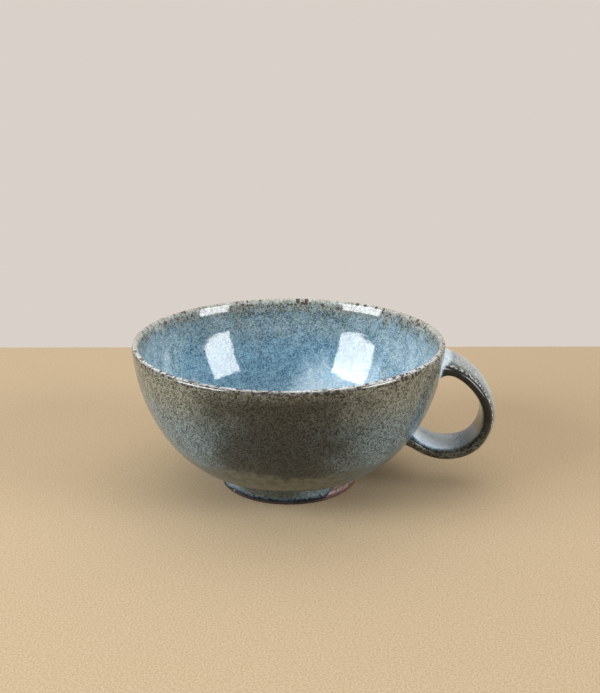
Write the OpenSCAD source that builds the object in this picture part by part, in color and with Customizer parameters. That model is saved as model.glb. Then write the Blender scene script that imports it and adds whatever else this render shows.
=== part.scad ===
// A wide soup mug: a thrown stoneware bowl on a turned foot ring, with a pulled strap handle,
// glazed inside and out. Sizes are in millimetres. The origin is the centre of the foot's
// resting face, +Z is up and the handle points to +X.

/* [Bowl] */
// Diameter of the lip, over the glaze
rim_d = 140; // [110:1:170]
// Height from the resting face to the top of the lip
mug_h = 67.8; // [56:0.2:84]
// Thickness of the clay wall at the lip
lip_t = 2.2; // [1.6:0.1:3.4]
// Thickness of the clay wall where it meets the foot
base_t = 4.6; // [3.4:0.1:6.4]
// Thickness of the clay floor at its centre
floor_t = 4; // [3:0.1:6]
// Lean of the wall at the lip, in degrees from upright
lip_lean = 3; // [0:0.5:8]

/* [Foot] */
// Diameter of the bare clay foot, above its bevel
foot_d = 63; // [52:1:76]
// Height of the foot ring, up to the underside of the floor
foot_h = 7.8; // [5:0.2:10]
// Width of the foot ring
foot_w = 6; // [4:0.2:8]
// Bevel of the resting face's two edges
foot_bevel = 0.7; // [0.4:0.1:1.2]
// Depth of the cove turned in the outside of the foot ring
foot_cove = 0.6; // [0.2:0.1:1.2]

/* [Handle] */
// How far the strap's centre line stands out past the rim
handle_reach = 19.2; // [15:0.2:28]
// How far the strap's centre line dips below its lower root
handle_drop = 6.9; // [5:0.1:10]
// Width of the clay strap at its roots
strap_w = 27; // [19:0.5:31]
// Width of the clay strap at its waist, half way round the loop
waist_w = 22.5; // [16:0.5:29]
// Thickness of the clay strap at its edges
strap_t = 3.8; // [2.8:0.1:4.8]
// Height of the crown on the strap's outer face
strap_crown = 1.8; // [1:0.1:3.4]

/* [Roots] */
// How far each root spreads past the strap's edges
root_spread = 2.8; // [1:0.1:4.5]
// How far the upper root is built up on the strap's inner face
upper_fillet = 5.8; // [3:0.1:7]
// How far the lower root is built up on the strap's inner face
lower_fillet = 2.6; // [1.5:0.1:4]
// How far each root is built up on the strap's outer face
outer_fillet = 0.5; // [0.2:0.1:1.5]

/* [Glaze] */
// Thickness of the glaze on the wall and the strap
glaze_t = 0.5; // [0.3:0.05:0.8]
// Height of the glaze line above the resting face
glaze_line = 1.6; // [1.3:0.1:3]
// Extra thickness of the roll of glaze above the glaze line
glaze_roll = 0.4; // [0:0.1:1]

/* [Hidden] */
$fn = 120;

// Steps of the curves: the wall, the lip's half round, the floor's dish, the foot's cove,
// each stretch of the handle's path, and the strap's section
wall_steps = 28;
lip_steps = 10;
floor_steps = 6;
cove_steps = 10;
path_steps = 14;
section_steps = 24;

// Where the wall's two inner control points lie, as shares of the way from the foot to the lip
belly_share = 0.444;
shoulder_share = 0.58;
// How square the strap's edges are: the power of its rounded section
edge_power_share = 0.62;
// Where the roots meet the wall, as shares of its curve
upper_root_share = 0.925;
lower_root_share = 0.5;
// Where the loop's outermost and lowest points lie, as shares of the spans between its roots
crown_share = 0.32;
dip_share = 0.49;
// How full each stretch of the loop is: the reach of its control points as shares of its spans
top_shares = [0.44, 0.48];
bottom_share = 0.6;
recurve_shares = [0.46, 0.31];
// How much of the first and last stretch of the loop each root's flare takes
flare_share = 0.47;
// Steps of the path that belong to each root
root_steps = 4;
// How far the roots are carried into the wall before they are trimmed to it
root_sink = 4;
// Steps of the wall's curve below the crease between the bowl and its foot
crease_steps = 2;
// How much of the glazed height of the foot the roll's rounded lower edge takes
roll_edge_share = 0.16;

// The lip's round and the wall's curve, on the outside of the clay
lip_r = lip_t / 2;
lip_centre = [rim_d / 2 - lip_r - glaze_t, mug_h - lip_r - glaze_t];
wall_lip = lip_centre + lip_r * [cos(lip_lean), -sin(lip_lean)];
wall_foot = [(foot_d - foot_w) / 2, foot_h];
wall_belly = [mix(wall_foot.x, wall_lip.x, belly_share), wall_foot.y];
shoulder_drop = shoulder_share * (wall_lip.y - wall_foot.y);
wall_shoulder = wall_lip - shoulder_drop * [sin(lip_lean), cos(lip_lean)];
wall_curve = [wall_foot, wall_belly, wall_shoulder, wall_lip];

// A value part of the way from one to another
function mix(a, b, share) = a + (b - a) * share;

// A direction of length one, and the direction to the right of another
function unit(v) = v / norm(v);
function right_of(v) = [v.y, -v.x];

// A point of a cubic curve through its four control points, and the way the curve runs there
function curve_at(c, t) =
    pow(1 - t, 3) * c[0] + 3 * pow(1 - t, 2) * t * c[1] + 3 * (1 - t) * pow(t, 2) * c[2] + pow(t, 3) * c[3];
function curve_way(c, t) =
    unit(pow(1 - t, 2) * (c[1] - c[0]) + 2 * (1 - t) * t * (c[2] - c[1]) + pow(t, 2) * (c[3] - c[2]));

// The wall's clay thickness, and points of the wall's curve at a depth below the clay's outside
function wall_t(t) = mix(base_t, lip_t, t);
function wall_out(t) = right_of(curve_way(wall_curve, t));
function wall_at(t, depth) = curve_at(wall_curve, t) - depth * wall_out(t);
function wall_outside(first, depth) =
    [for (i = [first : wall_steps]) wall_at(i / wall_steps, depth)];
function wall_inside(depth) =
    [for (i = [0 : wall_steps]) wall_at(i / wall_steps, wall_t(i / wall_steps) + depth)];

// The floor's dished upper side from the axis to the foot of the wall, raised by a coat
function floor_side(coat) =
    [for (i = [0 : floor_steps - 1]) let (s = i / floor_steps)
        [wall_foot.x * s, foot_h + mix(floor_t, base_t, pow(s, 2)) + coat]];

// The lip's half round from its outside to its inside
function lip_round(r) =
    [for (i = [0 : lip_steps]) let (a = 180 * i / lip_steps - lip_lean)
        lip_centre + r * [cos(a), sin(a)]];

function backwards(list) = [for (i = [len(list) - 1 : -1 : 0]) list[i]];

// The foot's coved outside, from above its bevel to the crease under the bowl
crease = wall_at(crease_steps / wall_steps, 0);
crease_out = wall_out(crease_steps / wall_steps);
function cove_at(s) =
    [mix(foot_d / 2, crease.x, s) - foot_cove * sin(180 * s), mix(foot_bevel, crease.y, s)];

// The glazed stretch of the cove, and the glaze on it: a rounded roll that thins towards the crease
glaze_start = (glaze_line - foot_bevel) / (crease.y - foot_bevel);
function glazed_at(s) = cove_at(mix(glaze_start, 1, s));
function roll_t(s) = mix(glaze_t + glaze_roll, glaze_t, s) * sin(90 * min(1, s / roll_edge_share));
function roll_at(s) = glazed_at(s) + roll_t(s) * unit(mix([1, 0], crease_out, pow(s, 4)));

// The loop of the strap's centre line, in the plane of the handle: out from the upper root,
// down to the outermost point, round to the lowest point and up to the lower root
upper_end = wall_at(upper_root_share, 0);
lower_end = wall_at(lower_root_share, 0);
upper_way = wall_out(upper_root_share);
lower_way = wall_out(lower_root_share);
outermost = [rim_d / 2 + handle_reach, mix(lower_end.y, upper_end.y, crown_share)];
lowest = [mix(lower_end.x, outermost.x, dip_share), lower_end.y - handle_drop];
loop_curves = [
    [upper_end,
     upper_end + top_shares[0] * (outermost.x - upper_end.x) * upper_way,
     outermost + [0, top_shares[1] * (upper_end.y - outermost.y)],
     outermost],
    [outermost,
     outermost - [0, bottom_share * (outermost.y - lowest.y)],
     lowest + [bottom_share * (outermost.x - lowest.x), 0],
     lowest],
    [lowest,
     lowest - [recurve_shares[0] * (lowest.x - lower_end.x), 0],
     lower_end + recurve_shares[1] * (lowest.x - lower_end.x) * lower_way,
     lower_end]];
loop_steps = path_steps * len(loop_curves);

// The strap's width at a step of the loop
function width_at(i) = mix(strap_w, waist_w, sin(180 * i / loop_steps));

// How far a root's flare has grown at a step of the loop, for the upper and the lower root
function flare(way) = pow(max(0, 1 - way / flare_share), 2);
function upper_flare(i) = flare(i / path_steps);
function lower_flare(i) = flare((loop_steps - i) / path_steps);

// One ring of the strap's section: flat inside, crowned outside, rounded at its edges, flared at
// the roots and grown by a coat. The strap's outside is on the left of the way it runs
function strap_ring(place, way, width, upper, lower, coat) =
    let (half_w = width / 2 + coat + root_spread * (upper + lower),
         inner_t = strap_t / 2 + coat + upper_fillet * upper + lower_fillet * lower,
         outer_t = strap_t / 2 + coat + outer_fillet * (upper + lower),
         outward = -right_of(way))
    [for (i = [0 : section_steps - 1])
        let (a = 360 * i / section_steps,
             across = sign(cos(a)) * pow(abs(cos(a)), edge_power_share),
             rise = sign(sin(a)) * pow(abs(sin(a)), edge_power_share),
             crown = strap_crown * (1 - pow(across, 2)),
             depth = rise < 0 ? inner_t * rise : (outer_t + crown) * rise,
             p = place + depth * outward)
        [p.x, half_w * across, p.y]];

// The strap's rings from inside the wall at the upper root to inside the wall at the lower root
function loop_ring(i, coat) =
    let (k = min(floor(i / path_steps), len(loop_curves) - 1),
         t = i / path_steps - k)
    strap_ring(
        curve_at(loop_curves[k], t), curve_way(loop_curves[k], t), width_at(i),
        upper_flare(i), lower_flare(i), coat);
function strap_rings(coat) = concat(
    [strap_ring(upper_end - root_sink * upper_way, upper_way, strap_w, 1, 0, coat)],
    [for (i = [0 : loop_steps]) loop_ring(i, coat)],
    [strap_ring(lower_end - root_sink * lower_way, -lower_way, strap_w, 0, 1, coat)]);
function some(list, first, last) = [for (i = [first : last]) list[i]];
last_ring = loop_steps + 2;
upper_split = root_steps + 1;
lower_split = last_ring - root_steps - 1;

// The triangles between rings of points that are numbered from a start, and a ring's own face
function skin(start, rings, sides) =
    [for (i = [0 : rings - 2], j = [0 : sides - 1])
        let (k = (j + 1) % sides, a = start + i * sides, b = a + sides)
        each [[a + j, b + k, a + k], [a + j, b + j, b + k]]];
function ring_face(start, sides) = [for (j = [0 : sides - 1]) start + j];
function end_faces(outer, inner, sides) =
    [for (j = [0 : sides - 1]) let (k = (j + 1) % sides) [outer + j, outer + k, inner + k, inner + j]];
function flipped(faces) = [for (f = faces) backwards(f)];

// A solid along rings of points, and a tube between an outer and an inner set of rings
module sweep(rings) {
    sides = len(rings[0]);
    last = (len(rings) - 1) * sides;
    polyhedron(
        points = [for (r = rings) each r],
        faces = concat(
            skin(0, len(rings), sides),
            [ring_face(0, sides)],
            flipped([ring_face(last, sides)])));
}

module tube(outer, inner) {
    sides = len(outer[0]);
    count = len(outer) * sides;
    last = count - sides;
    polyhedron(
        points = [for (r = concat(outer, inner)) each r],
        faces = concat(
            skin(0, len(outer), sides),
            flipped(skin(count, len(inner), sides)),
            end_faces(0, count, sides),
            flipped(end_faces(last, count + last, sides))));
}

// A turned solid whose seam lies on the side away from the handle
module turned() {
    rotate(180) rotate_extrude() children();
}

// Everything inside the clay's outer surface, which the roots are trimmed to
module wall_core() {
    turned() polygon(concat([[0, foot_h]], wall_outside(0, 0), [[0, wall_lip.y]]));
}

// The thrown clay wall and floor
module bowl() {
    color("sienna") turned() polygon(concat(
        [[0, foot_h]], wall_outside(0, 0), lip_round(lip_r), backwards(wall_inside(0)), backwards(floor_side(0))));
}

// The turned clay ring that the mug stands on
module foot_ring() {
    inner_r = foot_d / 2 - foot_w;
    color("saddlebrown") turned() polygon(concat(
        [[inner_r, foot_bevel], [inner_r + foot_bevel, 0], [foot_d / 2 - foot_bevel, 0]],
        [for (i = [0 : cove_steps]) cove_at(i / cove_steps)],
        [for (i = [crease_steps - 1 : -1 : 0]) wall_at(i / wall_steps, 0)],
        [[inner_r, foot_h]]));
}

// The pulled clay strap between its two roots
module handle() {
    color("peru") sweep(some(strap_rings(0), upper_split, lower_split));
}

// The clay worked round the strap's upper end, seated on the wall
module upper_root() {
    color("chocolate") difference() {
        sweep(some(strap_rings(0), 0, upper_split));
        wall_core();
    }
}

// The clay worked round the strap's lower end, seated on the wall
module lower_root() {
    color("chocolate") difference() {
        sweep(some(strap_rings(0), lower_split, last_ring));
        wall_core();
    }
}

// The coat of glaze inside the bowl
module inside_glaze() {
    color("steelblue") turned() polygon(concat(
        floor_side(0), wall_inside(0), backwards(wall_inside(glaze_t)), backwards(floor_side(glaze_t))));
}

// The thin coat over the lip
module lip_glaze() {
    color("tan") turned() polygon(concat(lip_round(lip_r), backwards(lip_round(lip_r + glaze_t))));
}

// The coat of glaze outside, open where the handle's own coat comes through
module outside_glaze() {
    color("slategray") difference() {
        turned() polygon(concat(
            wall_outside(crease_steps, -glaze_t), backwards(wall_outside(crease_steps, 0))));
        sweep(some(strap_rings(glaze_t), 0, upper_split));
        sweep(some(strap_rings(glaze_t), lower_split, last_ring));
    }
}

// The coat of glaze round the strap and its roots
module handle_glaze() {
    color("lightslategray") difference() {
        tube(strap_rings(glaze_t), strap_rings(0));
        wall_core();
    }
}

// The roll of glaze on the foot, which stops above the bare clay
module foot_glaze() {
    color("lightsteelblue") turned() polygon(concat(
        [for (i = [0 : cove_steps]) glazed_at(i / cove_steps)],
        [for (i = [cove_steps : -1 : 1]) roll_at(i / cove_steps)]));
}

bowl();
foot_ring();
handle();
upper_root();
lower_root();
inside_glaze();
lip_glaze();
outside_glaze();
handle_glaze();
foot_glaze();
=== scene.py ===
"""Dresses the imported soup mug: thrown stoneware under a mottled ash glaze, on a pale studio floor."""

import logging
import math
from dataclasses import dataclass
from enum import Enum
from typing import Callable, NamedTuple, Optional, Sequence, Union

import bmesh
import bpy
from mathutils import Matrix, Vector, noise


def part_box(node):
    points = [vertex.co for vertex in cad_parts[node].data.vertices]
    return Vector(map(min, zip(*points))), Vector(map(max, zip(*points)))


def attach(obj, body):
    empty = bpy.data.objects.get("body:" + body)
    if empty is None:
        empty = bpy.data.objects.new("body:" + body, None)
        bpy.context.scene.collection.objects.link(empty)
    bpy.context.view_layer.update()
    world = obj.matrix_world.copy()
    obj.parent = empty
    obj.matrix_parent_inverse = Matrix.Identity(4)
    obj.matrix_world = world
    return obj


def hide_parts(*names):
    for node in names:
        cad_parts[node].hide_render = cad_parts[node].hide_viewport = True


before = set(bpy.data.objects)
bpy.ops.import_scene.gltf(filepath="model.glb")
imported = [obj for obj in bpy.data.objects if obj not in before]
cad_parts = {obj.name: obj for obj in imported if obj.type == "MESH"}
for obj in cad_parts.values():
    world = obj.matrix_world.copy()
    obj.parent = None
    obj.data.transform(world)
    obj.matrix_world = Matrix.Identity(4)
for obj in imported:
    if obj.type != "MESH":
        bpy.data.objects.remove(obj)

MM = 0.001
PER_METRE = 1000.0
TURN = 2 * math.pi
BODY = "root"
WELD = 0.001 * MM
HALVINGS = 40

log = logging.getLogger("soup_mug")

Socket = bpy.types.NodeSocket
Number = Union[float, Socket]
Colour = tuple[float, float, float, float]
Shade = Union[Colour, Socket]
Pair = tuple[float, float]


class Coat(Enum):
    """The zones of the glaze. Each value is the zone's node."""

    INSIDE = "inside_glaze"
    LIP = "lip_glaze"
    OUTSIDE = "outside_glaze"
    HANDLE = "handle_glaze"
    FOOT = "foot_glaze"


class Clay(Enum):
    """The clay pieces. Each value is the piece's node."""

    BOWL = "bowl"
    FOOT = "foot_ring"
    STRAP = "handle"
    UPPER_ROOT = "upper_root"
    LOWER_ROOT = "lower_root"


def mix(low: float, high: float, share: float) -> float:
    """A value part of the way from one to another."""
    return low + (high - low) * share


def ease(value: float, low: float, high: float) -> float:
    """How far a value has come from low to high, from 0 to 1 with soft ends."""
    share = min(1.0, max(0.0, (value - low) / (high - low)))
    return share * share * (3 - 2 * share)


def paint(red: int, green: int, blue: int) -> Colour:
    """A colour written as screen values from 0 to 255, in the linear light that shaders take."""
    def linear(value: int) -> float:
        """One channel in linear light."""
        share = value / 255
        return share / 12.92 if share <= 0.04045 else ((share + 0.055) / 1.055) ** 2.4
    return (linear(red), linear(green), linear(blue), 1.0)


def turn_gap(angle: float, other: float) -> float:
    """The signed angle from one direction round the axis to another, from minus to plus half a turn."""
    return (angle - other + math.pi) % TURN - math.pi


def last_below(low: float, high: float, below: Callable[[float], bool]) -> float:
    """The last value in a span for which a test holds, by halving the span.

    Args:
        low: A value for which it holds.
        high: A value for which it doesn't.
        below: The test.

    Returns:
        The value.
    """
    for _ in range(HALVINGS):
        middle = (low + high) / 2
        if below(middle):
            low = middle
        else:
            high = middle
    return low


@dataclass(frozen=True)
class Cubic:
    """A cubic curve in a plane, by its four control points."""

    start: Vector
    leave: Vector
    arrive: Vector
    end: Vector

    def at(self, share: float) -> Vector:
        """The point at a share of the curve."""
        rest = 1 - share
        return (rest ** 3 * self.start + 3 * rest ** 2 * share * self.leave
                + 3 * rest * share ** 2 * self.arrive + share ** 3 * self.end)

    def way(self, share: float) -> Vector:
        """The direction that the curve runs in at a share of it."""
        rest = 1 - share
        run = (rest ** 2 * (self.leave - self.start) + 2 * rest * share * (self.arrive - self.leave)
               + share ** 2 * (self.end - self.arrive))
        return run.normalized()


class Station(NamedTuple):
    """A point of a turned outline, with radius first and height second.

    place is the point, out the direction away from the clay there, and show is 1 on the side that
    is seen and 0 on the side that lies on the clay.
    """

    place: Vector
    out: Vector
    show: float


@dataclass(frozen=True)
class Profile:
    """The turned outline of the bowl and its foot, which all the turned pieces share."""

    rim_r: float
    height: float
    foot_h: float
    glaze_t: float
    lip_t: float = 2.2 * MM
    lip_edge: float = 1.6 * MM
    lip_ease: float = 6.0 * MM
    wall_top_t: float = 2.7 * MM
    base_t: float = 4.6 * MM
    floor_t: float = 4.0 * MM
    lip_lean: float = math.radians(3)
    foot_r: float = 31.5 * MM
    foot_w: float = 6.0 * MM
    foot_bevel: float = 0.7 * MM
    foot_cove: float = 0.6 * MM
    belly_share: float = 0.444
    shoulder_share: float = 0.58
    crease_share: float = 2 / 28

    @classmethod
    def from_frame(cls) -> "Profile":
        """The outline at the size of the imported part.

        Returns:
            The profile, with its radius, heights and coat read from the nodes.
        """
        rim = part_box(Coat.LIP.value)[1]
        clay_low, clay_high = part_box(Clay.BOWL.value)
        return cls(rim_r=rim.x, height=rim.z, foot_h=clay_low.z, glaze_t=rim.z - clay_high.z)

    @property
    def lip_r(self) -> float:
        """Radius of the clay lip's half round."""
        return self.lip_t / 2

    @property
    def lip_centre(self) -> Vector:
        """Centre of the lip's half round."""
        inset = self.lip_r + self.glaze_t
        return Vector((self.rim_r - inset, self.height - inset))

    @property
    def wall(self) -> Cubic:
        """The clay wall's outside, from the foot to the lip."""
        lean = self.lip_lean
        lip = self.lip_centre + self.lip_r * Vector((math.cos(lean), -math.sin(lean)))
        foot = Vector((self.foot_r - self.foot_w / 2, self.foot_h))
        belly = Vector((mix(foot.x, lip.x, self.belly_share), foot.y))
        drop = self.shoulder_share * (lip.y - foot.y)
        return Cubic(foot, belly, lip - drop * Vector((math.sin(lean), math.cos(lean))), lip)

    def wall_out(self, share: float) -> Vector:
        """The direction out of the wall at a share of its curve."""
        way = self.wall.way(share)
        return Vector((way.y, -way.x))

    def wall_at(self, share: float, depth: float) -> Vector:
        """A point of the wall at a depth below the clay's outside."""
        return self.wall.at(share) - depth * self.wall_out(share)

    def clay_t(self, share: float) -> float:
        """Thickness of the clay wall at a share of its curve, before the lip is thinned."""
        return mix(self.base_t, self.wall_top_t, share)

    @property
    def corner(self) -> Vector:
        """Centre of the lip's small outer corner."""
        return Vector((self.rim_r - self.lip_edge, self.height - self.lip_edge))

    def corner_at(self, share: float, coat: float) -> Station:
        """A point of the lip's outer corner, from the wall's outside at 0 to the crest at 1."""
        angle = mix(-self.lip_lean, math.pi / 2, share)
        out = Vector((math.cos(angle), math.sin(angle)))
        return Station(self.corner + (self.lip_edge - self.glaze_t + coat) * out, out, 1.0)

    def inner_at(self, share: float, coat: float) -> Station:
        """A point of the wall's inside, which eases outwards in a quarter of an ellipse to the lip's crest.

        Args:
            share: Share of the wall's curve, where more than 1 goes on straight above it.
            coat: Thickness of glaze over the clay.

        Returns:
            The station, on the side that is seen.
        """
        foot = min(share, 1.0)
        depth = self.clay_t(foot) + coat
        place = self.wall_at(foot, depth)
        crest = self.corner + Vector((0, self.lip_edge - self.glaze_t + coat))
        top = self.wall_at(1.0, self.clay_t(1.0) + coat)
        if share > 1:
            place = top.lerp(Vector((top.x, crest.y)), share - 1)
        left = max(0.0, 1 - (crest.y - place.y) / self.lip_ease)
        eased = (crest.x - top.x) * (1 - math.sqrt(max(0.0, 1 - left * left)))
        return Station(place + Vector((eased, 0)), -self.wall_out(foot), 1.0)

    def floor_at(self, share: float, coat: float) -> Vector:
        """A point of the floor's dished upper side, from the axis to the foot of the wall."""
        rise = mix(self.floor_t, self.base_t, share ** 2)
        return Vector((self.wall.start.x * share, self.foot_h + rise + coat))

    @property
    def crease(self) -> Vector:
        """Where the bowl's underside meets the foot."""
        return self.wall_at(self.crease_share, 0)

    def cove_at(self, share: float) -> Vector:
        """A point of the foot's coved outside, from above its bevel to the crease."""
        hollow = self.foot_cove * math.sin(math.pi * share)
        return Vector((mix(self.foot_r, self.crease.x, share) - hollow,
                       mix(self.foot_bevel, self.crease.y, share)))

    def outer_r(self, height: float, coat: float) -> float:
        """Radius of the wall's outside at a height.

        Args:
            height: Height above the resting face.
            coat: Thickness of glaze over the clay.

        Returns:
            The radius, on the wall's curve or on the lip's corner above it.
        """
        if height >= self.wall_at(1.0, -coat).y:
            rise = max(0.0, height - self.corner.y)
            reach = (self.lip_edge - self.glaze_t + coat) ** 2 - rise ** 2
            return self.corner.x + math.sqrt(max(0.0, reach))
        share = last_below(0.0, 1.0, lambda middle: self.wall_at(middle, -coat).y < height)
        return self.wall_at(share, -coat).x


@dataclass(frozen=True)
class Hand:
    """What the maker's hand leaves on the mug: a rim that is not quite level or round, and soft rings."""

    profile: Profile
    rim_dip: float = 0.25 * MM
    front_dip: float = 1.15 * MM
    front_way: float = math.radians(-102)
    front_rise: int = 3
    front_focus: float = 1.5
    rim_pinch: float = 0.2 * MM
    pinch_lobes: int = 3
    pinch_turn: float = math.radians(40)
    ring_depth: float = 0.02 * MM
    ring_pitch: float = 5.2 * MM
    wander_depth: float = 0.07 * MM
    wander_span: float = 17 * MM
    lip_calm: float = 5 * MM
    lip_still: float = 1 * MM
    inside_share: float = 0.3

    def settle(self, place: Vector) -> Vector:
        """Moves a point as the drying and firing moved the whole mug.

        Args:
            place: A point of the true turned shape.

        Returns:
            The point with the rim's dips towards the handle and in front, and its uneven roundness.
        """
        share = place.z / self.profile.height
        angle = math.atan2(place.y, place.x)
        dip = self.rim_dip * share * (place.x + self.profile.rim_r) / (2 * self.profile.rim_r)
        toward = max(0.0, math.cos(angle - self.front_way))
        dip += self.front_dip * share ** self.front_rise * toward ** self.front_focus
        lobes = (1 - math.sin(self.pinch_lobes * angle + self.pinch_turn)) / 2
        radius = math.hypot(place.x, place.y)
        inward = self.rim_pinch * share ** 2 * lobes * min(1.0, radius / self.profile.foot_r)
        scale = 1 - inward / max(radius, WELD)
        return Vector((place.x * scale, place.y * scale, place.z - dip))

    def ripple(self, place: Vector) -> float:
        """How far the skin stands out or in at a point: throwing rings and a slow wander.

        Args:
            place: A point of the wall's skin.

        Returns:
            The height of the skin there, which dies away towards the lip.
        """
        angle = math.atan2(place.y, place.x)
        top = self.profile.height
        calm = 1 - ease(place.z, top - self.lip_calm, top - self.lip_still)
        rings = self.ring_depth * math.sin(TURN * place.z / self.ring_pitch + angle)
        return calm * (rings + self.wander_depth * noise.noise(place / self.wander_span))


class Workshop:
    """Turns outlines, sweeps sections and finishes meshes as pieces of the mug."""

    crisp_angle = math.radians(38)

    def __init__(self, hand: Hand, around: int = 288) -> None:
        """Keeps the maker's hand and the number of steps of a full turn."""
        self.hand = hand
        self.around = around

    def turned(self, outline: Sequence[Station], closed: bool) -> bmesh.types.BMesh:
        """Spins an outline round the axis.

        Args:
            outline: The stations of the outline.
            closed: Whether the last station joins the first; if not, both ends are on the axis.

        Returns:
            A closed mesh whose vertices keep each station's out and show values.
        """
        bm = bmesh.new()
        show = bm.verts.layers.float.new("show")
        out = bm.verts.layers.float_vector.new("out")
        verts = []
        for station in outline:
            vert = bm.verts.new((station.place.x, 0.0, station.place.y))
            vert[show] = station.show
            vert[out] = (station.out.x, 0.0, station.out.y)
            verts.append(vert)
        for first, second in zip(verts, verts[1:]):
            bm.edges.new((first, second))
        if closed:
            bm.edges.new((verts[-1], verts[0]))
        bmesh.ops.spin(bm, geom=bm.verts[:] + bm.edges[:], cent=(0, 0, 0), axis=(0, 0, 1), dvec=(0, 0, 0),
                       angle=TURN, steps=self.around, use_merge=True, use_duplicate=False)
        bmesh.ops.remove_doubles(bm, verts=bm.verts[:], dist=WELD)
        return bm

    @staticmethod
    def swept(rings: Sequence[Sequence[Vector]], ring_again: bool) -> bmesh.types.BMesh:
        """Extrudes a ring of points through a row of rings.

        Args:
            rings: The rings, each with as many points, in the order of the sweep.
            ring_again: Whether the last ring is the first again; if not, the two ends are capped.

        Returns:
            A closed mesh, whose vertices keep the number of their line and ring.
        """
        bm = bmesh.new()
        line = bm.verts.layers.int.new("line")
        row = bm.verts.layers.int.new("row")
        ring = bmesh.ops.create_circle(bm, cap_ends=False, radius=MM, segments=len(rings[0]))["verts"]
        for number, vert in enumerate(ring):
            vert[line] = number
            vert.co = rings[0][number]
        edges = bm.edges[:]
        first = edges[:]
        for number, points in enumerate(rings[1:], start=1):
            grown = bmesh.ops.extrude_edge_only(bm, edges=edges)["geom"]
            fresh = {g for g in grown if isinstance(g, bmesh.types.BMVert)}
            edges = [g for g in grown if isinstance(g, bmesh.types.BMEdge) and set(g.verts) <= fresh]
            for vert in fresh:
                vert.co = points[vert[line]]
                vert[row] = number
        if ring_again:
            bmesh.ops.remove_doubles(bm, verts=bm.verts[:], dist=WELD)
        else:
            bmesh.ops.contextual_create(bm, geom=first)
            bmesh.ops.contextual_create(bm, geom=edges)
        return bm

    def piece(self, bm: bmesh.types.BMesh, name: str, material: bpy.types.Material, slot: str,
              node: str) -> None:
        """Finishes a mesh as a piece of the mug that stands for a node and rides on the mug's body.

        Args:
            bm: The closed mesh, which is freed.
            name: The piece's name.
            material: Its finish.
            slot: Not used.
            node: The CAD node that it stands for.
        """
        for vert in bm.verts:
            vert.co = self.hand.settle(vert.co)
        bmesh.ops.recalc_face_normals(bm, faces=bm.faces[:])
        mesh = bpy.data.meshes.new(name)
        bm.to_mesh(mesh)
        bm.free()
        mesh.polygons.foreach_set("use_smooth", [True] * len(mesh.polygons))
        mesh.set_sharp_from_angle(angle=self.crisp_angle)
        mesh.materials.append(material)
        thing = bpy.data.objects.new(name, mesh)
        bpy.context.scene.collection.objects.link(thing)
        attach(thing, BODY)
        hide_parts(node)
        log.info("%s: %d faces, stands for %s", name, len(mesh.polygons), node)

    def coat(self, bm: bmesh.types.BMesh, name: str, material: bpy.types.Material, zone: Coat) -> None:
        """Finishes a mesh as a zone of the glaze, whose node and slot share a name."""
        self.piece(bm, name, material, zone.value, zone.value)


class Specks(NamedTuple):
    """Round specks: how far apart they lie, the radii of the smallest and largest, and their soft edge."""

    gap: float
    small: float
    large: float
    soft: float = 0.12


class Graph:
    """A tree of shader nodes, which starts empty."""

    def __init__(self, tree: bpy.types.NodeTree) -> None:
        """Empties the tree."""
        self.tree = tree
        tree.nodes.clear()

    def node(self, kind: str, inputs: Optional[dict] = None, **settings: object) -> bpy.types.Node:
        """Adds a node.

        Args:
            kind: Blender's name for the node.
            inputs: Values or sockets for its inputs, by name or number.
            settings: Values for its properties.

        Returns:
            The node.
        """
        made = self.tree.nodes.new(kind)
        for key, value in settings.items():
            setattr(made, key, value)
        for key, value in (inputs or {}).items():
            self.feed(made.inputs[key], value)
        return made

    def feed(self, socket: Socket, value: Union[Number, Shade]) -> None:
        """Links a socket to another, or sets its value."""
        if isinstance(value, bpy.types.NodeSocket):
            self.tree.links.new(value, socket)
        else:
            socket.default_value = value

    def math(self, work: str, first: Number, second: Number = 0.0) -> Socket:
        """The result of an operation on two numbers."""
        return self.node("ShaderNodeMath", {0: first, 1: second}, operation=work).outputs[0]


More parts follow.
